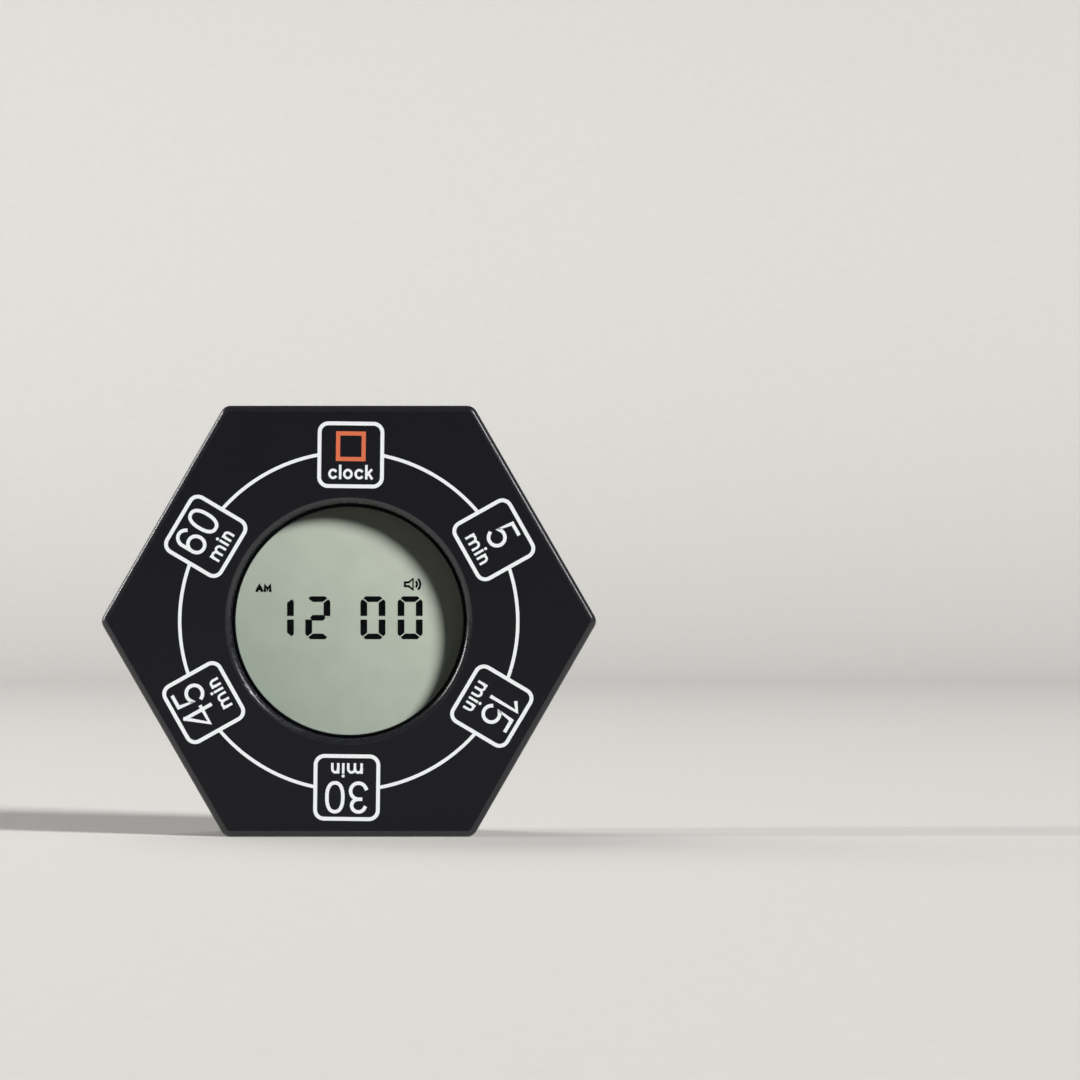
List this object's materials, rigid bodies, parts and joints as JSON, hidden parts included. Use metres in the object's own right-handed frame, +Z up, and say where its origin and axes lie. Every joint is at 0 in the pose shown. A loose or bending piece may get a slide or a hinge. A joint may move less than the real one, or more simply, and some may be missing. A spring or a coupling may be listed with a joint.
{
  "type": "hexagonal timer",
  "caption": "Hexagonal desk timer set by turning it onto one of its flats, with a round recessed display, rear buttons, a sound switch and a hinged battery door.",
  "frame": {"origin": "middle of the flat it stands on, at half its thickness", "axes": "+Z up, square to the flat it stands on; +X to the right as the display is seen; -Y the way the display faces"},
  "size_m": [0.0918, 0.028, 0.08],
  "materials": {
    "case_plastic": "satin moulded ABS, near black",
    "button_plastic": "fine satin",
    "clear_acrylic": "polished",
    "display_film": "grey green, slightly hazed",
    "display_glass": "polished",
    "reflector_film": "brushed foil",
    "contact_rubber": "matte",
    "holder_plastic": "natural white",
    "circuit_board": "green solder resist",
    "screw_steel": "zinc plated",
    "black_resin": "cast epoxy",
    "can_steel": "tinned can",
    "can_aluminium": "satin",
    "ferrite": "ferrite and lacquered wire",
    "chip_ceramic": "matte",
    "switch_body": "moulded",
    "switch_plunger": "moulded",
    "sounder_brass": "rolled",
    "sounder_ceramic": "silvered",
    "cell_sleeve": "printed sleeve, plain",
    "contact_nickel": "nickel plated spring steel",
    "lead_red": "vinyl",
    "lead_black": "vinyl",
    "ribbon_grey": "vinyl"
  },
  "bodies": {
    "case": {"battery_lead_black": "lead_black", "battery_lead_red": "lead_red", "battery_link": "contact_nickel", "board_screws": "screw_steel", "boost_coil": "ferrite", "button_board": "circuit_board", "button_board_screws": "screw_steel", "capacitors": "can_aluminium", "case_screws": "screw_steel", "chip_parts": "chip_ceramic", "controller_blob": "black_resin", "crystal": "can_steel", "front_shell": "case_plastic", "hour_switch": "switch_body", "lcd_front_glass": "display_glass", "lcd_front_polarizer": "display_film", "lcd_holder": "holder_plastic", "lcd_rear_glass": "display_glass", "lcd_reflector": "reflector_film", "lower_battery": "cell_sleeve", "lower_battery_spring": "contact_nickel", "lower_zebra_strip": "contact_rubber", "main_board": "circuit_board", "minute_switch": "switch_body", "negative_contact": "contact_nickel", "positive_contact": "contact_nickel", "rear_shell": "case_plastic", "ribbon_cable": "ribbon_grey", "set_switch": "switch_body", "sound_switch_body": "can_steel", "sounder_disc": "sounder_brass", "sounder_element": "sounder_ceramic", "sounder_lead_black": "lead_black", "sounder_lead_red": "lead_red", "tilt_sensor": "black_resin", "upper_battery": "cell_sleeve", "upper_battery_spring": "contact_nickel", "upper_zebra_strip": "contact_rubber", "window_lens": "clear_acrylic"},
    "battery_door": {"battery_door": "case_plastic"},
    "sound_switch": {"sound_switch_knob": "button_plastic"},
    "set_button": {"set_button": "button_plastic", "set_plunger": "switch_plunger"},
    "hour_button": {"hour_button": "button_plastic", "hour_plunger": "switch_plunger"},
    "minute_button": {"minute_button": "button_plastic", "minute_plunger": "switch_plunger"}
  },
  "joints": [
    {"name": "battery_door_hinge", "type": "hinge", "parent": "case", "child": "battery_door", "pos_m": [0, 0.014, 0.0408], "axis": [1, 0, 0], "range_deg": [0, 75]},
    {"name": "sound_switch_slide", "type": "slide", "parent": "case", "child": "sound_switch", "axis": [1, 0, 0], "range_m": [-0.002, 0.002]},
    {"name": "set_button_press", "type": "slide", "parent": "case", "child": "set_button", "axis": [0, -1, 0], "range_m": [0, 0.0004], "stiffness_N_per_m": 1500, "springref_m": -0.0001},
    {"name": "hour_button_press", "type": "slide", "parent": "case", "child": "hour_button", "axis": [0, -1, 0], "range_m": [0, 0.0004], "stiffness_N_per_m": 1500, "springref_m": -0.0001},
    {"name": "minute_button_press", "type": "slide", "parent": "case", "child": "minute_button", "axis": [0, -1, 0], "range_m": [0, 0.0004], "stiffness_N_per_m": 1500, "springref_m": -0.0001}
  ]
}
